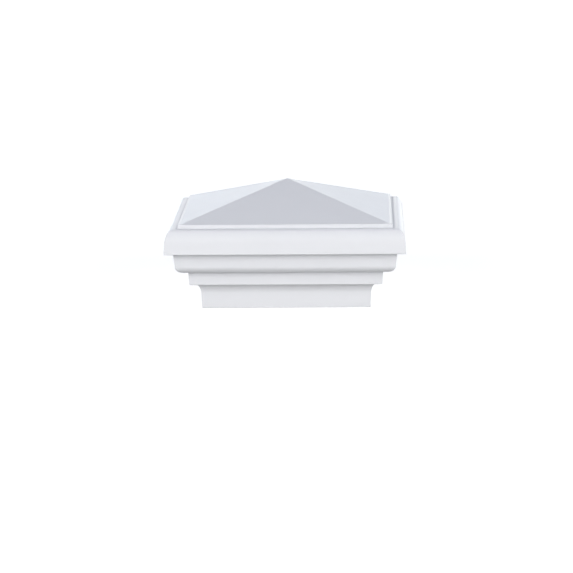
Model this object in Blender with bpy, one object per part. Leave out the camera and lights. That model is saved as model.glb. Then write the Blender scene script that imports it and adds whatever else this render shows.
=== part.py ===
"""Moulded post cap for a nominal 4x4 post: a square moulding stack under a low pyramid roof.

Metres, +Z up. The origin is the centre of the rim, which is the cap's lowest face. The section is drawn once, as
half-width against level, and swept round the square with mitred corners. A core of two square steps leaves the
socket for the post, the ledge that stops it and a relief over its end. Grooves cut in the core leave the ribs that
centre the post.
"""

import math

import bmesh
import bpy
from mathutils import Matrix, Vector

SIDES = 4

# Post and socket
POST_WIDTH = 0.0889
POST_CLEARANCE = 0.00155
POST_INSERTION = 0.038
WALL = 0.0032
LEAD_IN = 0.0008

# Lean of the moulded faces, which lets the cap leave its mould
SKIRT_LEAN = math.radians(2.5)
BAND_LEAN = math.radians(3.5)
OVOLO_LEAN = math.radians(5.0)
CROWN_LEAN = math.radians(3.5)

# Heights of the mouldings, from the rim upwards
SKIRT_HEIGHT = 0.0090
COVE_HEIGHT = 0.0057
BAND_HEIGHT = 0.0078
OVOLO_HEIGHT = 0.0121
CROWN_FACE_HEIGHT = 0.0068
CROWN_ROUND_HEIGHT = 0.0074
PLINTH_HEIGHT = 0.00225
ROOF_RISE = 0.01845

# Steps outwards, each beyond the top of the moulding below, then back in over the crown to the foot of the roof
COVE_DEPTH = 0.0036
BAND_STEP = 0.0065
OVOLO_STEP = 0.0070
CROWN_STEP = 0.0052
CROWN_ROUND_DEPTH = 0.0042
LEDGE_WIDTH = 0.0033
LAND_WIDTH = 0.00145

# Rounds
OVOLO_ROUND_WIDTH = 0.0058
OVOLO_ROUND_HEIGHT = 0.0042
ARRIS = 0.0005
ARRIS_STEPS = 2
ROUND_STEPS = 6

# Inside: the ledge that stops the post, the relief over its end, and the ribs in pairs on each side
STOP_WIDTH = 0.008
RELIEF_DEPTH = 0.013
RIB_CLEARANCE = 0.00035
RIB_WIDTH = 0.0024
RIB_SPACING = 0.048
RIB_START = 0.006
RIB_LEAD = 0.003

# Finish
BODY_COLOUR = (0.83, 0.84, 0.86, 1.0)
BODY_ROUGHNESS = 0.42
BODY_METALLIC = 0.0

# Levels of the section, worked out from the heights
BAND_FOOT = SKIRT_HEIGHT + COVE_HEIGHT
OVOLO_FOOT = BAND_FOOT + BAND_HEIGHT
CROWN_FOOT = OVOLO_FOOT + OVOLO_HEIGHT
CROWN_SPRING = CROWN_FOOT + CROWN_FACE_HEIGHT
LEDGE_LEVEL = CROWN_SPRING + CROWN_ROUND_HEIGHT
ROOF_FOOT = LEDGE_LEVEL + PLINTH_HEIGHT
APEX = ROOF_FOOT + ROOF_RISE
RELIEF_TOP = POST_INSERTION + RELIEF_DEPTH

# Half-widths of the section, worked out from the post
SOCKET = POST_WIDTH / 2 + POST_CLEARANCE
RIB_CREST = POST_WIDTH / 2 + RIB_CLEARANCE
RELIEF = SOCKET - STOP_WIDTH
SKIRT = SOCKET + WALL
SKIRT_TOP = SKIRT + SKIRT_HEIGHT * math.tan(SKIRT_LEAN)
BAND = SKIRT_TOP + BAND_STEP
BAND_TOP = BAND + BAND_HEIGHT * math.tan(BAND_LEAN)
OVOLO = BAND_TOP + OVOLO_STEP
OVOLO_TOP = OVOLO + OVOLO_HEIGHT * math.tan(OVOLO_LEAN)
CROWN = OVOLO_TOP + CROWN_STEP
CROWN_TOP = CROWN - CROWN_FACE_HEIGHT * math.tan(CROWN_LEAN)
CROWN_SHOULDER = CROWN_TOP - CROWN_ROUND_DEPTH
PLINTH = CROWN_SHOULDER - LEDGE_WIDTH
ROOF = PLINTH - LAND_WIDTH


def elliptical_arc(centre, half_width, height, start, end):
    """Points of an elliptical arc about a centre, from one angle to another, ends included."""
    angles = [start + (end - start) * step / ROUND_STEPS for step in range(ROUND_STEPS + 1)]
    return [
        (centre[0] + half_width * math.cos(angle), centre[1] + height * math.sin(angle))
        for angle in angles
    ]


def rounded_corner(previous, corner, following, before, after, steps):
    """The arc that rounds a corner of the section, from a setback before it to a setback after it."""
    here = Vector(corner)
    back = (Vector(previous) - here).normalized() * before
    ahead = (Vector(following) - here).normalized() * after
    angles = [math.pi / 2 * step / steps for step in range(steps + 1)]
    return [tuple(here + back * (1 - math.sin(angle)) + ahead * (1 - math.cos(angle))) for angle in angles]


def section(corners):
    """Turn corners of (half-width, level, setback before, setback after) into points, rounding those set back."""
    points = []
    for index, (half_width, level, before, after) in enumerate(corners):
        here = (half_width, level)
        if before == 0 or after == 0:
            points.append(here)
            continue
        steps = ARRIS_STEPS if max(before, after) <= ARRIS else ROUND_STEPS
        previous, following = corners[index - 1][:2], corners[index + 1][:2]
        points += rounded_corner(previous, here, following, before, after, steps)
    return points


def outer_section():
    """The cap's outside, from the middle of its foot up to the apex."""
    lower = section([
        (0, 0, 0, 0),
        (SKIRT, 0, ARRIS, ARRIS),
        (SKIRT_TOP, SKIRT_HEIGHT, 0, 0),
    ])
    cove_depth = min(COVE_DEPTH, BAND_STEP)
    cove = elliptical_arc(
        (SKIRT_TOP + cove_depth, SKIRT_HEIGHT), cove_depth, COVE_HEIGHT, math.pi, math.pi / 2,
    )
    middle = section([
        cove[-1] + (0, 0),
        (BAND, BAND_FOOT, ARRIS, ARRIS),
        (BAND_TOP, OVOLO_FOOT, 0, 0),
        (OVOLO, OVOLO_FOOT, min(OVOLO_ROUND_WIDTH, OVOLO_STEP), min(OVOLO_ROUND_HEIGHT, OVOLO_HEIGHT)),
        (OVOLO_TOP, CROWN_FOOT, 0, 0),
        (CROWN, CROWN_FOOT, ARRIS, ARRIS),
        (CROWN_TOP, CROWN_SPRING, 0, 0),
    ])
    crown_round = elliptical_arc(
        (CROWN_SHOULDER, CROWN_SPRING), CROWN_ROUND_DEPTH, CROWN_ROUND_HEIGHT, 0, math.pi / 2,
    )
    upper = [
        (PLINTH, LEDGE_LEVEL),
        (PLINTH, ROOF_FOOT),
        (ROOF, ROOF_FOOT),
        (0, APEX),
    ]
    return lower[:-1] + cove + middle[1:-1] + crown_round + upper


def core_section():
    """The hollow, from below the rim: its lead-in, the post's socket, the stop ledge and the relief."""
    below = -WALL
    return [
        (0, below),
        (SOCKET + LEAD_IN - below, below),
        (SOCKET, LEAD_IN),
        (SOCKET, POST_INSERTION),
        (RELIEF, POST_INSERTION),
        (RELIEF, RELIEF_TOP),
        (0, RELIEF_TOP),
    ]


def sweep_round_square(points):
    """Sweep a section round the square: it stands on the corner's diagonal and is spun in four steps."""
    bm = bmesh.new()
    corner = [bm.verts.new((half_width, half_width, level)) for half_width, level in points]
    edges = [bm.edges.new(pair) for pair in zip(corner, corner[1:])]
    bmesh.ops.spin(
        bm, geom=corner + edges, cent=(0, 0, 0), axis=(0, 0, 1), angle=math.tau, steps=SIDES, use_merge=True,
    )
    bmesh.ops.remove_doubles(bm, verts=bm.verts, dist=1e-6)
    return bm


def add_object(name, bm):
    """Close the form with its faces outwards, and put it in the scene under a name."""
    bmesh.ops.recalc_face_normals(bm, faces=bm.faces)
    mesh = bpy.data.meshes.new(name)
    bm.to_mesh(mesh)
    bm.free()
    mesh.shade_smooth()
    mesh.set_sharp_from_angle(angle=math.radians(25))
    part = bpy.data.objects.new(name, mesh)
    bpy.context.scene.collection.objects.link(part)
    return part


def make_guide(part):
    """Keep a cutter out of the finished model."""
    part.hide_render = True
    part.display_type = 'WIRE'
    return part


def cut(target, cutter):
    """Cut one object out of another, by an exact Boolean that stays live."""
    boolean = target.modifiers.new(f"less {cutter.name}", 'BOOLEAN')
    boolean.operation = 'DIFFERENCE'
    boolean.solver = 'EXACT'
    boolean.object = cutter


def rib_grooves():
    """Grooves for the core, two on each side: each leaves a rib on the socket's wall, tapered at its foot."""
    inside_wall = SOCKET + WALL / 2
    inside_stop = POST_INSERTION + WALL / 2
    profile = [
        (inside_wall, RIB_START),
        (SOCKET, RIB_START),
        (RIB_CREST, RIB_START + RIB_LEAD),
        (RIB_CREST, inside_stop),
        (inside_wall, inside_stop),
    ]
    bm = bmesh.new()
    for side in range(SIDES):
        turn = Matrix.Rotation(math.tau * side / SIDES, 3, 'Z')
        for offset in (-RIB_SPACING / 2, RIB_SPACING / 2):
            near = [bm.verts.new((out, offset - RIB_WIDTH / 2, level)) for out, level in profile]
            swept = bmesh.ops.extrude_face_region(bm, geom=[bm.faces.new(near)])['geom']
            far = [item for item in swept if isinstance(item, bmesh.types.BMVert)]
            bmesh.ops.translate(bm, verts=far, vec=(0, RIB_WIDTH, 0))
            bmesh.ops.rotate(bm, verts=near + far, cent=(0, 0, 0), matrix=turn)
    return make_guide(add_object("rib grooves", bm))


def socket_core():
    """The core that hollows the cap, grooved for the ribs."""
    core = make_guide(add_object("socket core", sweep_round_square(core_section())))
    cut(core, rib_grooves())
    return core


def satin_white():
    """Satin white moulded finish."""
    material = bpy.data.materials.new("satin white")
    material.use_nodes = True
    shader = material.node_tree.nodes['Principled BSDF']
    shader.inputs['Base Color'].default_value = BODY_COLOUR
    shader.inputs['Roughness'].default_value = BODY_ROUGHNESS
    shader.inputs['Metallic'].default_value = BODY_METALLIC
    return material


def post_cap():
    """The cap: the solid moulding stack, less its core."""
    cap = add_object("post_cap", sweep_round_square(outer_section()))
    cap.data.materials.append(satin_white())
    cut(cap, socket_core())


def main():
    """Clear the scene and build the cap."""
    for existing in list(bpy.data.objects):
        bpy.data.objects.remove(existing, do_unlink=True)
    post_cap()


main()
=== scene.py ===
"""Dressed scene of a square moulded post cap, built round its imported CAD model.

The cap is one satin white moulding. From the rim up it has a skirt, a cove, a band, an ovolo and a crown,
then a ledge, a low plinth with a narrow land, and a pyramid roof. Underneath it has a socket for the post,
with a lead-in, eight slim ribs, a stop ledge and a relief. The script sweeps a finely rounded section round
the square, softens its mitres and hips, joins the ribs to it, dresses the skin and the socket, and sets the
cap in a pale studio.

Metres, +Z up. The rim stands on the floor at level 0.
"""

import logging
import math
from dataclasses import dataclass, field
from enum import Enum

import bmesh
import bpy
from mathutils import Matrix, Vector


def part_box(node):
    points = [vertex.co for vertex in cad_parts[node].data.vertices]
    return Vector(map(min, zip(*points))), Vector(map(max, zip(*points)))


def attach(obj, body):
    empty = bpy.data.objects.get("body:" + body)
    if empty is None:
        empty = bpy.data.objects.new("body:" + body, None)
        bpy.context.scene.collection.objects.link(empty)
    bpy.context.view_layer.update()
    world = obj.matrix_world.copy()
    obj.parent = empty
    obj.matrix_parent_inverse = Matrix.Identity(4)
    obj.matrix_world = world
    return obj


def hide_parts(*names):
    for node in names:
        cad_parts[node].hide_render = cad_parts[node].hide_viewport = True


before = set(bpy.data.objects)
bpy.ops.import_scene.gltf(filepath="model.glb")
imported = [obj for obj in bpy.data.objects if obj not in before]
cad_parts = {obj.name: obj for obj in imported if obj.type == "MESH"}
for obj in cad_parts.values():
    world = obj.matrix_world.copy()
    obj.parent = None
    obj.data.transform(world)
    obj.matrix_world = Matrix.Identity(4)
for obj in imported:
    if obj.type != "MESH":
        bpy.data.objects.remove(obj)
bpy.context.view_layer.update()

CAP_NODE = "post_cap"
CAP_BODY = "root"
SIDES = 4
QUARTER = math.pi / 2
FEWEST_STEPS = 2
MIX_FIRST, MIX_SECOND, MIX_RESULT = 6, 7, 2
FULL_WHITE = (1.0, 1.0, 1.0, 1.0)
GRAIN_DETAIL = 2.0
FLOW_DETAIL = 1.0

log = logging.getLogger("post_cap")


class Face(Enum):
    """Which finish a face of the cap takes: its material slot on the piece."""

    SKIN = 0
    SOCKET = 1


class Tone(Enum):
    """Colours of the studio's light."""

    WARM = (1.0, 0.960, 0.860)
    WHITE = (0.995, 1.0, 0.995)
    DAYLIGHT = (0.983, 0.985, 1.0)
    COOL = (0.938, 0.957, 1.0)
    ICE = (0.900, 0.965, 1.0)
    SKY = (0.745, 0.820, 1.0)
    BLUE = (0.550, 0.630, 1.0)


@dataclass(frozen=True)
class Corner:
    """A corner of the section, rounded by an arc that starts and ends a set distance from it."""

    half_width: float
    level: float
    before: float = 0.0
    after: float = 0.0

    @property
    def place(self) -> Vector:
        """The corner's own point in the section."""
        return Vector((self.half_width, self.level))

    def arc(self, previous: "Corner", following: "Corner", quarter_steps: int) -> list[Vector]:
        """Points that round this corner.

        Args:
            previous: The corner that the line comes from.
            following: The corner that the line goes to.
            quarter_steps: Steps that a turn of a right angle takes.

        Returns:
            The arc's points, ends included, or the corner alone where it has no setback.
        """
        if not self.before and not self.after:
            return [self.place]
        towards_previous = (previous.place - self.place).normalized()
        towards_following = (following.place - self.place).normalized()
        turn = math.pi - towards_previous.angle(towards_following)
        steps = max(FEWEST_STEPS, math.ceil(quarter_steps * turn / QUARTER))
        points = []
        for step in range(steps + 1):
            angle = QUARTER * step / steps
            lag = towards_previous * self.before * (1 - math.sin(angle))
            lead = towards_following * self.after * (1 - math.cos(angle))
            points.append(self.place + lag + lead)
        return points


def round_line(corners: list[Corner], quarter_steps: int) -> list[Vector]:
    """Draw a line of the section through its corners.

    Args:
        corners: The line's corners in order. The first and the last stay sharp.
        quarter_steps: Steps that a turn of a right angle takes.

    Returns:
        The line's points.
    """
    points = [corners[0].place]
    for previous, corner, following in zip(corners, corners[1:], corners[2:]):
        points += corner.arc(previous, following, quarter_steps)
    points.append(corners[-1].place)
    return points


@dataclass
class CapSection:
    """The cap's section, as half-widths from its axis and levels above its rim.

    The crown's half-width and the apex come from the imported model. The mouldings step in from the crown down
    to the skirt, and the socket lies one wall inside the skirt.
    """

    crown: float
    apex: float

    skirt_height: float = 0.0090
    cove_height: float = 0.0057
    band_height: float = 0.0078
    ovolo_height: float = 0.0121
    crown_face_height: float = 0.0068
    crown_round_height: float = 0.00740
    plinth_height: float = 0.00225

    cove_depth: float = 0.0036
    band_step: float = 0.0065
    ovolo_step: float = 0.0070
    crown_step: float = 0.0052
    crown_round_depth: float = 0.0042
    ledge_width: float = 0.0033
    land_width: float = 0.00145

    skirt_lean: float = math.radians(2.5)
    band_lean: float = math.radians(3.5)
    ovolo_lean: float = math.radians(5.0)
    crown_lean: float = math.radians(3.5)

    ovolo_round_width: float = 0.0058
    ovolo_round_height: float = 0.0042
    plinth_arris: float = 0.0002
    arris: float = 0.0005
    fillet: float = 0.0003
    # How far out from the plinth's foot the painted shade on the ledge is centred.
    painted_shade_shift: float = 0.0006
    quarter_steps: int = 12

    wall: float = 0.0032
    lead_in: float = 0.0008
    insertion: float = 0.038
    stop_width: float = 0.008
    relief_depth: float = 0.013
    stop_arris: float = 0.0010
    inside_fillet: float = 0.0012

    band_foot: float = field(init=False)
    ovolo_foot: float = field(init=False)
    crown_foot: float = field(init=False)
    ledge_level: float = field(init=False)
    roof_foot: float = field(init=False)
    ovolo_top: float = field(init=False)
    ovolo: float = field(init=False)
    band_top: float = field(init=False)
    band: float = field(init=False)
    skirt_top: float = field(init=False)
    skirt: float = field(init=False)
    socket: float = field(init=False)
    crown_shoulder: float = field(init=False)
    plinth: float = field(init=False)
    roof: float = field(init=False)

    def __post_init__(self) -> None:
        """Work out the levels upwards from the rim, and the half-widths inwards from the crown."""
        self.band_foot = self.skirt_height + self.cove_height
        self.ovolo_foot = self.band_foot + self.band_height
        self.crown_foot = self.ovolo_foot + self.ovolo_height
        self.ledge_level = self.crown_foot + self.crown_face_height + self.crown_round_height
        self.roof_foot = self.ledge_level + self.plinth_height
        self.ovolo_top = self.crown - self.crown_step
        self.ovolo = self.ovolo_top - self.ovolo_height * math.tan(self.ovolo_lean)
        self.band_top = self.ovolo - self.ovolo_step
        self.band = self.band_top - self.band_height * math.tan(self.band_lean)
        self.skirt_top = self.band - self.band_step
        self.skirt = self.skirt_top - self.skirt_height * math.tan(self.skirt_lean)
        self.socket = self.skirt - self.wall
        crown_top = self.crown - self.crown_face_height * math.tan(self.crown_lean)
        self.crown_shoulder = crown_top - self.crown_round_depth
        self.plinth = self.crown_shoulder - self.ledge_width
        self.roof = self.plinth - self.land_width

    @classmethod
    def from_model(cls) -> "CapSection":
        """Take the cap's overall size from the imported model."""
        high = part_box(CAP_NODE)[1]
        return cls(crown=high.x + cls.arris * math.tan(cls.crown_lean), apex=high.z)

    def painted_shade_lines(self) -> list[tuple[float, float]]:
        """Place the painted shade in the outside's hollow angles.

        On the ledge it lies a little way out from the plinth's foot.

        Returns:
            The middle of each line of painted shade, as half-width and level.
        """
        return [
            (self.skirt_top, self.band_foot),
            (self.band_top, self.ovolo_foot),
            (self.ovolo_top, self.crown_foot),
            (self.plinth + self.painted_shade_shift, self.ledge_level),
        ]

    def skin_line(self) -> list[Vector]:
        """Draw the outside of the section.

        Returns:
            Its points, from the rim's inner edge up to the apex.
        """
        cove_corner = self.skirt + self.band_foot * math.tan(self.skirt_lean)
        cove_reach = self.skirt_top + self.cove_depth - cove_corner
        crown_corner = self.crown - (self.ledge_level - self.crown_foot) * math.tan(self.crown_lean)
        crown_reach = crown_corner - self.crown_shoulder
        return round_line([
            Corner(self.socket + self.lead_in, 0),
            Corner(self.skirt, 0, self.arris, self.arris),
            Corner(cove_corner, self.band_foot, self.cove_height, cove_reach),
            Corner(self.band, self.band_foot, self.arris, self.arris),
            Corner(self.band_top, self.ovolo_foot, self.fillet, self.fillet),
            Corner(self.ovolo, self.ovolo_foot, self.ovolo_round_width, self.ovolo_round_height),
            Corner(self.ovolo_top, self.crown_foot, self.fillet, self.fillet),
            Corner(self.crown, self.crown_foot, self.arris, self.arris),
            Corner(crown_corner, self.ledge_level, self.crown_round_height, crown_reach),
            Corner(self.plinth, self.ledge_level, self.fillet, self.fillet),
            Corner(self.plinth, self.roof_foot, self.plinth_arris, self.plinth_arris),
            Corner(self.roof, self.roof_foot),
            Corner(0, self.apex),
        ], self.quarter_steps)

    def socket_line(self) -> list[Vector]:
        """Draw the hollow's section.

        Returns:
            Its points, from the rim's inner edge up to the middle of the relief.
        """
        relief = self.socket - self.stop_width
        relief_top = self.insertion + self.relief_depth
        return round_line([
            Corner(self.socket + self.lead_in, 0),
            Corner(self.socket, self.lead_in, self.fillet, self.fillet),
            Corner(self.socket, self.insertion, self.inside_fillet, self.inside_fillet),
            Corner(relief, self.insertion, self.stop_arris, self.stop_arris),
            Corner(relief, relief_top, self.inside_fillet, self.inside_fillet),
            Corner(0, relief_top),
        ], self.quarter_steps)


class ShaderBench:
    """A node tree with short calls to lay nodes and join them."""

    def __init__(self, tree: bpy.types.NodeTree) -> None:
        """Work on a tree.

        Args:
            tree: The material's or group's node tree.
        """
        self.tree = tree

    def lay(self, kind: str, **settings: object) -> bpy.types.Node:
        """Add a node.

        Args:
            kind: The node's type name.
            **settings: Properties to set on it.

        Returns:
            The node.
        """
        node = self.tree.nodes.new(kind)
        for name, value in settings.items():
            setattr(node, name, value)
        return node

    def join(self, source: bpy.types.NodeSocket, target: bpy.types.NodeSocket) -> None:
        """Link an output to an input."""
        self.tree.links.new(source, target)

    def math(self, operation: str, *values: bpy.types.NodeSocket | float) -> bpy.types.NodeSocket:
        """Add a Math node.

        Args:
            operation: The node's operation.
            *values: For each input in turn, a socket to link or a number to set.

        Returns:
            The node's output.
        """
        node = self.lay("ShaderNodeMath", operation=operation)
        for socket, value in zip(node.inputs, values):
            if isinstance(value, bpy.types.NodeSocket):
                self.join(value, socket)
            else:
                socket.default_value = value
        return node.outputs[0]


def mould_grain_group() -> bpy.types.NodeTree:
    """The surface that a textured mould leaves: a fine grain on a slow undulation.

    Returns:
        A node group with a Vector and the two patterns' scales in, and Height and Tint out.
    """
    group = bpy.data.node_groups.new("mould grain", "ShaderNodeTree")
    group.interface.new_socket("Vector", in_out="INPUT", socket_type="NodeSocketVector")
    group.interface.new_socket("Grain Scale", in_out="INPUT", socket_type="NodeSocketFloat")
    group.interface.new_socket("Flow Scale", in_out="INPUT", socket_type="NodeSocketFloat")
    group.interface.new_socket("Flow Share", in_out="INPUT", socket_type="NodeSocketFloat")
    group.interface.new_socket("Height", in_out="OUTPUT", socket_type="NodeSocketFloat")
    group.interface.new_socket("Tint", in_out="OUTPUT", socket_type="NodeSocketFloat")
    bench = ShaderBench(group)
    source = bench.lay("NodeGroupInput")
    result = bench.lay("NodeGroupOutput")
    grain = bench.lay("ShaderNodeTexNoise")
    grain.inputs["Detail"].default_value = GRAIN_DETAIL
    flow = bench.lay("ShaderNodeTexNoise")
    flow.inputs["Detail"].default_value = FLOW_DETAIL
    for noise, scale in ((grain, "Grain Scale"), (flow, "Flow Scale")):
        bench.join(source.outputs["Vector"], noise.inputs["Vector"])
        bench.join(source.outputs[scale], noise.inputs["Scale"])
    slow = bench.math("MULTIPLY", flow.outputs["Fac"], source.outputs["Flow Share"])
    bench.join(bench.math("ADD", grain.outputs["Fac"], slow), result.inputs["Height"])
    bench.join(flow.outputs["Fac"], result.inputs["Tint"])
    return group


def hollow_angle_group() -> bpy.types.NodeTree:
    """A mask for painted shade in one hollow angle of the mouldings, which fades out round the line where two
    faces meet.

    Returns:
        A node group with a Vector and the angle's Half Width, Level and Reach in, and a Mask out.
    """
    group = bpy.data.node_groups.new("hollow angle", "ShaderNodeTree")
    group.interface.new_socket("Vector", in_out="INPUT", socket_type="NodeSocketVector")
    group.interface.new_socket("Half Width", in_out="INPUT", socket_type="NodeSocketFloat")
    group.interface.new_socket("Level", in_out="INPUT", socket_type="NodeSocketFloat")
    group.interface.new_socket("Reach", in_out="INPUT", socket_type="NodeSocketFloat")
    group.interface.new_socket("Mask", in_out="OUTPUT", socket_type="NodeSocketFloat")
    bench = ShaderBench(group)
    source = bench.lay("NodeGroupInput")
    result = bench.lay("NodeGroupOutput")
    split = bench.lay("ShaderNodeSeparateXYZ")
    bench.join(source.outputs["Vector"], split.inputs[0])
    out_x = bench.math("ABSOLUTE", split.outputs["X"])
    out_y = bench.math("ABSOLUTE", split.outputs["Y"])
    outwards = bench.math("SUBTRACT", bench.math("MAXIMUM", out_x, out_y), source.outputs["Half Width"])
    upwards = bench.math("SUBTRACT", split.outputs["Z"], source.outputs["Level"])
    outwards_squared = bench.math("MULTIPLY", outwards, outwards)
    upwards_squared = bench.math("MULTIPLY", upwards, upwards)
    squares = bench.math("ADD", outwards_squared, upwards_squared)
    fade = bench.lay("ShaderNodeMapRange", interpolation_type="SMOOTHSTEP")
    fade.inputs["To Min"].default_value = 1.0
    fade.inputs["To Max"].default_value = 0.0
    bench.join(bench.math("SQRT", squares), fade.inputs["Value"])
    bench.join(source.outputs["Reach"], fade.inputs["From Max"])
    bench.join(fade.outputs["Result"], result.inputs["Mask"])
    return group


@dataclass(frozen=True)
class SkinFinish:
    """The satin white skin that the mould leaves on the outside."""

    name: str = "satin white skin"
    colour: tuple[float, float, float, float] = (0.820, 0.826, 0.842, 1.0)
    flow_colour: tuple[float, float, float, float] = (0.806, 0.813, 0.832, 1.0)
    # Painted shade: the darker colour that the hollow angles take, where shade falls.
    painted_shade_colour: tuple[float, float, float, float] = (0.715, 0.721, 0.739, 1.0)
    roughness: float = 0.36
    roughness_spread: float = 0.10
    angle_roughness: float = 1.0
    painted_shade_reach: float = 0.0014
    grain_scale: float = 900.0
    flow_scale: float = 90.0
    flow_share: float = 1.5
    relief: float = 0.000006
    ior: float = 1.50

    def material(
        self, grain: bpy.types.NodeTree, angle: bpy.types.NodeTree, section: CapSection,
    ) -> bpy.types.Material:
        """Make the material.

        Args:
            grain: The mould grain group.
            angle: The hollow angle group.
            section: The section whose hollow angles take the painted shade.

        Returns:
            The material.
        """
        material, bench, shader = new_material(self.name)
        shader.inputs["IOR"].default_value = self.ior
        place = bench.lay("ShaderNodeTexCoord").outputs["Object"]
        texture = lay_grain(bench, grain, place, self)
        # Painted shade: darken the skin, and make it rougher, in each hollow angle of the mouldings.
        mask = None
        for half_width, level in section.painted_shade_lines():
            hollow = bench.lay("ShaderNodeGroup", node_tree=angle)
            bench.join(place, hollow.inputs["Vector"])
            hollow.inputs["Half Width"].default_value = half_width
            hollow.inputs["Level"].default_value = level
            hollow.inputs["Reach"].default_value = self.painted_shade_reach
            one = hollow.outputs["Mask"]
            mask = one if mask is None else bench.math("MAXIMUM", mask, one)
        tinted = mix_colours(bench, texture.outputs["Tint"], self.colour, self.flow_colour)
        bench.join(mix_colours(bench, mask, tinted, self.painted_shade_colour), shader.inputs["Base Color"])
        spread = bench.math("MULTIPLY_ADD", texture.outputs["Tint"], self.roughness_spread, self.roughness)
        dull = bench.lay("ShaderNodeMapRange")
        bench.join(mask, dull.inputs["Value"])
        bench.join(spread, dull.inputs["To Min"])
        dull.inputs["To Max"].default_value = self.angle_roughness
        bench.join(dull.outputs["Result"], shader.inputs["Roughness"])
        raise_surface(bench, shader, texture.outputs["Height"], self.relief)
        return material


@dataclass(frozen=True)
class SocketFinish:
    """The plainer surface inside the socket, duller and more coarsely grained towards its top, where painted
    shade greys it in blotches.
    """

    name: str = "socket grain"
    colour: tuple[float, float, float, float] = (0.815, 0.820, 0.835, 1.0)
    # Painted shade: the grey that the socket takes towards its top, deep in the hollow.
    painted_shade_deep_colour: tuple[float, float, float, float] = (0.735, 0.738, 0.745, 1.0)
    roughness: float = 0.46
    deep_roughness: float = 0.72
    fade_start: float = 0.001
    fade_end: float = 0.014
    grain_scale: float = 1400.0
    flow_scale: float = 220.0
    flow_share: float = 0.8
    relief: float = 0.00003

    def material(self, grain: bpy.types.NodeTree) -> bpy.types.Material:
        """Make the material.

        Args:
            grain: The mould grain group.

        Returns:
            The material.
        """
        material, bench, shader = new_material(self.name)
        place = bench.lay("ShaderNodeTexCoord").outputs["Object"]
        texture = lay_grain(bench, grain, place, self)
        split = bench.lay("ShaderNodeSeparateXYZ")
        bench.join(place, split.inputs[0])
        depth = bench.lay("ShaderNodeMapRange", interpolation_type="SMOOTHSTEP")
        bench.join(split.outputs["Z"], depth.inputs["Value"])
        depth.inputs["From Min"].default_value = self.fade_start
        depth.inputs["From Max"].default_value = self.fade_end
        # Painted shade: blotches of grey that grow deeper into the socket.
        blotch = bench.math("MULTIPLY", depth.outputs["Result"], texture.outputs["Tint"])
        bench.join(mix_colours(bench, blotch, self.colour, self.painted_shade_deep_colour), shader.inputs["Base Color"])
        dull = bench.lay("ShaderNodeMapRange")
        bench.join(depth.outputs["Result"], dull.inputs["Value"])
        dull.inputs["To Min"].default_value = self.roughness
        dull.inputs["To Max"].default_value = self.deep_roughness
        bench.join(dull.outputs["Result"], shader.inputs["Roughness"])
        raise_surface(bench, shader, texture.outputs["Height"], self.relief)
        return material


@dataclass(frozen=True)
class FloorFinish:
    """White paper, lit from below so that it looks white, while it throws little light up under the cap."""

    name: str = "lit white paper"
    colour: tuple[float, float, float, float] = (0.90, 0.90, 0.90, 1.0)
    thrown_colour: tuple[float, float, float, float] = (0.22, 0.22, 0.22, 1.0)
    glow: float = 0.45
    far_glow: float = 1.0
    glow_start: float = 0.30
    glow_end: float = 1.20
    thrown_glow: float = 0.268
    roughness: float = 1.0

    def material(self) -> bpy.types.Material:
        """Make the material.

        Returns:
            The material.
        """
        material, bench, shader = new_material(self.name)
        camera = bench.lay("ShaderNodeLightPath").outputs["Is Camera Ray"]
        bench.join(mix_colours(bench, camera, self.thrown_colour, self.colour), shader.inputs["Base Color"])
        shader.inputs["Roughness"].default_value = self.roughness
        shader.inputs["Specular IOR Level"].default_value = 0.0
        shader.inputs["Emission Color"].default_value = FULL_WHITE
        away = bench.lay("ShaderNodeVectorMath", operation="LENGTH")
        bench.join(bench.lay("ShaderNodeTexCoord").outputs["Object"], away.inputs[0])
        spread = bench.lay("ShaderNodeMapRange", interpolation_type="SMOOTHSTEP")
        bench.join(away.outputs["Value"], spread.inputs["Value"])
        spread.inputs["From Min"].default_value = self.glow_start
        spread.inputs["From Max"].default_value = self.glow_end
        spread.inputs["To Min"].default_value = self.glow
        spread.inputs["To Max"].default_value = self.far_glow
        glow = seen_by_camera(bench, self.thrown_glow, self.far_glow)
        bench.join(spread.outputs["Result"], glow.node.inputs["To Max"])
        bench.join(glow, shader.inputs["Emission Strength"])
        return material


def new_material(name: str) -> tuple[bpy.types.Material, ShaderBench, bpy.types.Node]:
    """Start a material.

    Args:
        name: The material's name.

    Returns:
        The material, a bench on its tree and its Principled shader.
    """
    material = bpy.data.materials.new(name)
    material.use_nodes = True
    return material, ShaderBench(material.node_tree), material.node_tree.nodes["Principled BSDF"]


def seen_by_camera(bench: ShaderBench, other: float, seen: float) -> bpy.types.NodeSocket:
    """Give one strength to the camera and another to every other ray.

    Args:
        bench: The tree to work on.
        other: The strength that lights the cap.
        seen: The strength that the camera sees.

    Returns:
        The strength's socket.
    """
    strength = bench.lay("ShaderNodeMapRange")
    bench.join(bench.lay("ShaderNodeLightPath").outputs["Is Camera Ray"], strength.inputs["Value"])
    strength.inputs["To Min"].default_value = other
    strength.inputs["To Max"].default_value = seen
    return strength.outputs["Result"]


def lay_grain(
    bench: ShaderBench,
    grain: bpy.types.NodeTree,
    place: bpy.types.NodeSocket,
    finish: "SkinFinish | SocketFinish",
) -> bpy.types.Node:
    """Place the mould grain in a material, at its finish's scales.

    Args:
        bench: The tree to work on.
        grain: The mould grain group.
        place: The coordinates that the grain follows.
        finish: The finish that gives the scales.

    Returns:
        The group's node.
    """
    texture = bench.lay("ShaderNodeGroup", node_tree=grain)
    bench.join(place, texture.inputs["Vector"])
    texture.inputs["Grain Scale"].default_value = finish.grain_scale
    texture.inputs["Flow Scale"].default_value = finish.flow_scale
    texture.inputs["Flow Share"].default_value = finish.flow_share
    return texture


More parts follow.
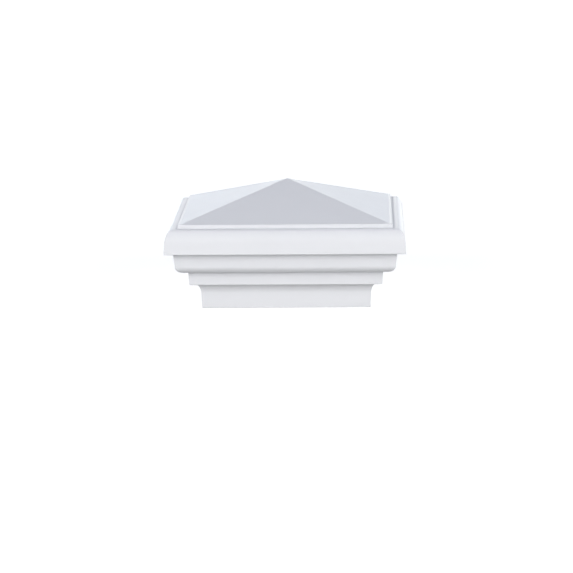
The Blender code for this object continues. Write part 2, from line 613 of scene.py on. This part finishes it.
def mix_colours(
    bench: ShaderBench,
    mask: bpy.types.NodeSocket,
    first: bpy.types.NodeSocket | tuple[float, float, float, float],
    second: tuple[float, float, float, float],
) -> bpy.types.NodeSocket:
    """Mix two colours by a mask.

    Args:
        bench: The tree to work on.
        mask: 0 gives the first colour and 1 the second.
        first: A colour, or a socket that gives one.
        second: A colour.

    Returns:
        The mixed colour's socket.
    """
    node = bench.lay("ShaderNodeMix", data_type="RGBA")
    bench.join(mask, node.inputs["Factor"])
    if isinstance(first, bpy.types.NodeSocket):
        bench.join(first, node.inputs[MIX_FIRST])
    else:
        node.inputs[MIX_FIRST].default_value = first
    node.inputs[MIX_SECOND].default_value = second
    return node.outputs[MIX_RESULT]


def raise_surface(
    bench: ShaderBench, shader: bpy.types.Node, height: bpy.types.NodeSocket, relief: float,
) -> None:
    """Give a shader a bump.

    Args:
        bench: The tree to work on.
        shader: The shader whose normal it moves.
        height: The pattern, from 0 to about 1.
        relief: The pattern's depth in metres.
    """
    bump = bench.lay("ShaderNodeBump")
    bump.inputs["Distance"].default_value = relief
    bench.join(height, bump.inputs["Height"])
    bench.join(bump.outputs["Normal"], shader.inputs["Normal"])


@dataclass
class CapMoulding:
    """The cap itself: the swept section with softened mitres and hips, and the ribs in its socket."""

    section: CapSection
    mitre_round: float = 0.00045
    mitre_steps: int = 4
    socket_round: float = 0.0015
    flat_angle: float = math.radians(1.0)
    sharp_angle: float = math.radians(35)
    flat_weight: int = 100
    merge: float = 0.000001

    rib_width: float = 0.0024
    rib_spacing: float = 0.048
    rib_proud: float = 0.0012
    rib_start: float = 0.006
    rib_lead: float = 0.003
    rib_round: float = 0.0008
    rib_steps: int = 4

    def sweep(self, bm: bmesh.types.BMesh, line: list[Vector], face: Face) -> None:
        """Sweep a line of the section round the square.

        Args:
            bm: The mesh to add to.
            line: The line's points, as half-width and level.
            face: The finish that its faces take.
        """
        before = set(bm.faces)
        corner = [bm.verts.new((point.x, point.x, point.y)) for point in line]
        edges = [bm.edges.new(pair) for pair in zip(corner, corner[1:])]
        bmesh.ops.spin(
            bm, geom=corner + edges, cent=(0, 0, 0), axis=(0, 0, 1), angle=math.tau, steps=SIDES,
            use_merge=True,
        )
        for one in bm.faces:
            if one not in before:
                one.material_index = face.value

    def round_mitres(self, bm: bmesh.types.BMesh, face: Face, reach: float) -> None:
        """Round the mitres between the four sides.

        Args:
            bm: The swept mesh.
            face: The finish of the faces whose mitres are rounded.
            reach: How far the rounding reaches from each mitre.
        """
        mitres = [edge for edge in bm.edges if self.is_mitre(edge, face)]
        bmesh.ops.bevel(
            bm, geom=mitres, offset=reach, offset_type="OFFSET", segments=self.mitre_steps, profile=0.5,
            affect="EDGES", clamp_overlap=True, loop_slide=True, material=-1,
        )

    def is_mitre(self, edge: bmesh.types.BMEdge, face: Face) -> bool:
        """Whether an edge is a mitre between two sides, with a real angle across it.

        Args:
            edge: The edge to test.
            face: The finish of the faces whose mitres are rounded.

        Returns:
            True where it lies on a diagonal of the square and its faces aren't level with each other.
        """
        if len(edge.link_faces) != 2 or any(one.material_index != face.value for one in edge.link_faces):
            return False
        on_diagonal = all(abs(abs(vert.co.x) - abs(vert.co.y)) < self.merge for vert in edge.verts)
        return on_diagonal and edge.calc_face_angle(0.0) > self.flat_angle

    def shell(self) -> bpy.types.Object:
        """Sweep the skin and the socket into one closed shell.

        Returns:
            The shell, with its mitres rounded.
        """
        bm = bmesh.new()
        self.sweep(bm, self.section.skin_line(), Face.SKIN)
        self.sweep(bm, self.section.socket_line(), Face.SOCKET)
        bmesh.ops.remove_doubles(bm, verts=bm.verts, dist=self.merge)
        bmesh.ops.recalc_face_normals(bm, faces=bm.faces)
        self.round_mitres(bm, Face.SKIN, self.mitre_round)
        self.round_mitres(bm, Face.SOCKET, self.socket_round)
        bmesh.ops.remove_doubles(bm, verts=bm.verts, dist=self.merge)
        return self.place(bm, "shell")

    def ribs(self) -> bpy.types.Object:
        """Make the eight ribs, two on each side, tapered at the foot and rounded along the crest.

        Returns:
            The ribs, as one object.
        """
        section = self.section
        inside_wall = section.socket + section.wall / 2
        inside_stop = section.insertion + section.wall / 2
        crest = section.socket - self.rib_proud
        outline = [
            (inside_wall, self.rib_start),
            (section.socket, self.rib_start),
            (crest, self.rib_start + self.rib_lead),
            (crest, inside_stop),
            (inside_wall, inside_stop),
        ]
        bm = bmesh.new()
        for side in range(SIDES):
            turn = Matrix.Rotation(math.tau * side / SIDES, 3, "Z")
            for offset in (-self.rib_spacing / 2, self.rib_spacing / 2):
                near = [bm.verts.new((out, offset - self.rib_width / 2, level)) for out, level in outline]
                swept = bmesh.ops.extrude_face_region(bm, geom=[bm.faces.new(near)])["geom"]
                far = [item for item in swept if isinstance(item, bmesh.types.BMVert)]
                bmesh.ops.translate(bm, verts=far, vec=(0, self.rib_width, 0))
                bmesh.ops.rotate(bm, verts=near + far, cent=(0, 0, 0), matrix=turn)
        bmesh.ops.recalc_face_normals(bm, faces=bm.faces)
        crests = [edge for edge in bm.edges if self.is_crest(edge)]
        bmesh.ops.bevel(
            bm, geom=crests, offset=self.rib_round, offset_type="OFFSET", segments=self.rib_steps,
            profile=0.5, affect="EDGES", clamp_overlap=True, material=-1,
        )
        for one in bm.faces:
            one.material_index = Face.SOCKET.value
        return self.place(bm, "ribs")

    def is_crest(self, edge: bmesh.types.BMEdge) -> bool:
        """Whether an edge runs along a rib's crest or its tapered foot.

        Args:
            edge: The edge to test.

        Returns:
            True where it rises inside the socket.
        """
        section = self.section
        reach = [max(abs(vert.co.x), abs(vert.co.y)) for vert in edge.verts]
        rises = abs(edge.verts[0].co.z - edge.verts[1].co.z) > self.merge
        return rises and max(reach) < section.socket + self.merge

    def place(self, bm: bmesh.types.BMesh, name: str) -> bpy.types.Object:
        """Turn a bmesh into an object at the origin.

        Args:
            bm: The mesh, which this frees.
            name: The object's name.

        Returns:
            The object, linked to the scene.
        """
        mesh = bpy.data.meshes.new(name)
        bm.to_mesh(mesh)
        bm.free()
        made = bpy.data.objects.new(name, mesh)
        bpy.context.scene.collection.objects.link(made)
        return made

    def build(self) -> bpy.types.Object:
        """Join the ribs to the shell and dress the cap.

        Returns:
            The finished piece.
        """
        cap = self.shell()
        ribs = self.ribs()
        for finish in self.finishes():
            cap.data.materials.append(finish)
            ribs.data.materials.append(finish)
        union = cap.modifiers.new("ribs", "BOOLEAN")
        union.operation = "UNION"
        union.solver = "EXACT"
        union.object = ribs
        depsgraph = bpy.context.evaluated_depsgraph_get()
        joined = bpy.data.meshes.new_from_object(cap.evaluated_get(depsgraph))
        self.weld(joined)
        cap.modifiers.clear()
        cap.data = joined
        bpy.data.objects.remove(ribs, do_unlink=True)
        cap.name = "cap_moulding"
        joined.name = "cap_moulding"
        self.shade(cap)
        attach(cap, CAP_BODY)
        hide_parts(CAP_NODE)
        log.info("%s: %d faces", cap.name, len(joined.polygons))
        return cap

    def weld(self, mesh: bpy.types.Mesh) -> None:
        """Merge the doubles that the union leaves.

        Args:
            mesh: The joined mesh.
        """
        bm = bmesh.new()
        bm.from_mesh(mesh)
        bmesh.ops.remove_doubles(bm, verts=bm.verts, dist=self.merge)
        bm.to_mesh(mesh)
        bm.free()

    def shade(self, cap: bpy.types.Object) -> None:
        """Shade the cap smooth, with its flats held flat by weighted normals.

        Args:
            cap: The piece to shade.
        """
        cap.data.shade_smooth()
        cap.data.set_sharp_from_angle(angle=self.sharp_angle)
        flats = cap.modifiers.new("flats", "WEIGHTED_NORMAL")
        flats.keep_sharp = True
        flats.weight = self.flat_weight

    def finishes(self) -> list[bpy.types.Material]:
        """Make the finishes of the skin and the socket, in the order of Face.

        Returns:
            The two materials.
        """
        grain = mould_grain_group()
        angle = hollow_angle_group()
        return [SkinFinish().material(grain, angle, self.section), SocketFinish().material(grain)]


@dataclass(frozen=True)
class Softbox:
    """One soft studio light."""

    name: str
    place: tuple[float, float, float]
    width: float
    height: float
    power: float
    tone: Tone = Tone.DAYLIGHT

    def hang(self, aim: Vector) -> bpy.types.Object:
        """Hang the light.

        Args:
            aim: The point that it faces.

        Returns:
            The light's object.
        """
        lamp = bpy.data.lights.new(self.name, "AREA")
        lamp.shape = "RECTANGLE"
        lamp.size = self.width
        lamp.size_y = self.height
        lamp.energy = self.power
        lamp.color = self.tone.value
        hung = bpy.data.objects.new(self.name, lamp)
        place = Vector(self.place)
        turn = (aim - place).to_track_quat("-Z", "Y").to_matrix().to_4x4()
        hung.matrix_world = Matrix.Translation(place) @ turn
        hung.visible_camera = False
        bpy.context.scene.collection.objects.link(hung)
        log.info("%s: %.1f W", self.name, self.power)
        return hung


@dataclass
class Studio:
    """The pale floor, the soft light and the camera at the photograph's viewing angle."""

    floor_half: float = 6.0
    aim: tuple[float, float, float] = (0.0, 0.0, 0.035)
    room_light: float = 0.207
    room_tone: Tone = Tone.COOL
    backdrop_light: float = 1.0
    lights: tuple[Softbox, ...] = (
        Softbox("high back softbox", (0.0, 1.6, 1.0), 2.4, 0.8, 4.4, Tone.SKY),
        Softbox("low back softbox", (0.0, 1.8, 0.24), 3.0, 0.46, 10.2, Tone.ICE),
        Softbox("back strip", (-0.045, 1.8, 0.42), 0.24, 0.75, 1.7, Tone.WARM),
        Softbox("left back softbox", (-1.1, 1.1, 0.25), 1.2, 0.45, 7.7, Tone.WHITE),
        Softbox("right back softbox", (1.1, 1.1, 0.25), 1.2, 0.45, 1.6, Tone.WARM),
        Softbox("left low strip", (-1.2, 0.3, 0.12), 1.4, 0.22, 3.2, Tone.COOL),
        Softbox("right low strip", (1.2, 0.3, 0.12), 1.4, 0.22, 5.5, Tone.WHITE),
        Softbox("left front softbox", (-0.9, -0.9, 0.5), 0.8, 0.6, 6.9),
        Softbox("right front softbox", (0.9, -0.9, 0.5), 0.8, 0.6, 7.1),
        Softbox("low front softbox", (0.0, -1.6, 0.35), 1.2, 0.5, 4.9),
        Softbox("overhead softbox", (0.0, 0.0, 1.3), 0.9, 0.9, 1.4, Tone.BLUE),
    )

    camera_yaw: float = math.radians(1.527)
    camera_pitch: float = math.radians(9.961)
    camera_roll: float = math.radians(-0.548)
    camera_distance: float = 1.8037
    camera_target: tuple[float, float, float] = (-0.00108, 0.0, 0.00391)
    sensor_mm: float = 36.0
    lens_mm: float = 189.22

    def lay_floor(self) -> bpy.types.Object:
        """Lay the white paper that the cap stands on.

        Returns:
            The floor's object.
        """
        bm = bmesh.new()
        bmesh.ops.create_grid(bm, x_segments=1, y_segments=1, size=self.floor_half)
        mesh = bpy.data.meshes.new("floor")
        bm.to_mesh(mesh)
        bm.free()
        floor = bpy.data.objects.new("floor", mesh)
        bpy.context.scene.collection.objects.link(floor)
        mesh.materials.append(FloorFinish().material())
        log.info("floor: %.1f m across", 2 * self.floor_half)
        return floor

    def light(self) -> None:
        """Hang the softboxes and set the room's even light."""
        for box in self.lights:
            box.hang(Vector(self.aim))
        world = bpy.data.worlds.new("studio room")
        world.use_nodes = True
        bench = ShaderBench(world.node_tree)
        room = world.node_tree.nodes["Background"]
        seen = seen_by_camera(bench, self.room_light, self.backdrop_light)
        bench.join(seen, room.inputs["Strength"])
        camera = bench.lay("ShaderNodeLightPath").outputs["Is Camera Ray"]
        tone = mix_colours(bench, camera, (*self.room_tone.value, 1.0), FULL_WHITE)
        bench.join(tone, room.inputs["Color"])
        bpy.context.scene.world = world

    def set_camera(self) -> bpy.types.Object:
        """Set the camera where the photograph was taken from.

        Returns:
            The camera's object.
        """
        yaw, pitch, roll = self.camera_yaw, self.camera_pitch, self.camera_roll
        back = Vector((math.sin(yaw) * math.cos(pitch), -math.cos(yaw) * math.cos(pitch), math.sin(pitch)))
        level_right = Vector((math.cos(yaw), math.sin(yaw), 0))
        level_up = back.cross(level_right)
        right = level_right * math.cos(roll) + level_up * math.sin(roll)
        up = back.cross(right)
        data = bpy.data.cameras.new("camera")
        data.sensor_width = self.sensor_mm
        data.lens = self.lens_mm
        camera = bpy.data.objects.new("camera", data)
        turn = Matrix((right, up, back)).transposed().to_4x4()
        place = Vector(self.camera_target) + back * self.camera_distance
        camera.matrix_world = Matrix.Translation(place) @ turn
        bpy.context.scene.collection.objects.link(camera)
        bpy.context.scene.camera = camera
        log.info("camera: %.0f mm lens at %.2f m", data.lens, self.camera_distance)
        return camera

    def build(self) -> None:
        """Set up the whole studio, and show its light as it is, with no film look."""
        self.lay_floor()
        self.light()
        self.set_camera()
        view = bpy.context.scene.view_settings
        view.view_transform = "Standard"
        view.look = "None"
        view.exposure = 0.0
        view.gamma = 1.0


def main() -> None:
    """Build the cap and its studio."""
    logging.basicConfig(level=logging.INFO, format="%(name)s: %(message)s")
    Studio().build()
    CapMoulding(CapSection.from_model()).build()


if __name__ == "__main__":
    main()
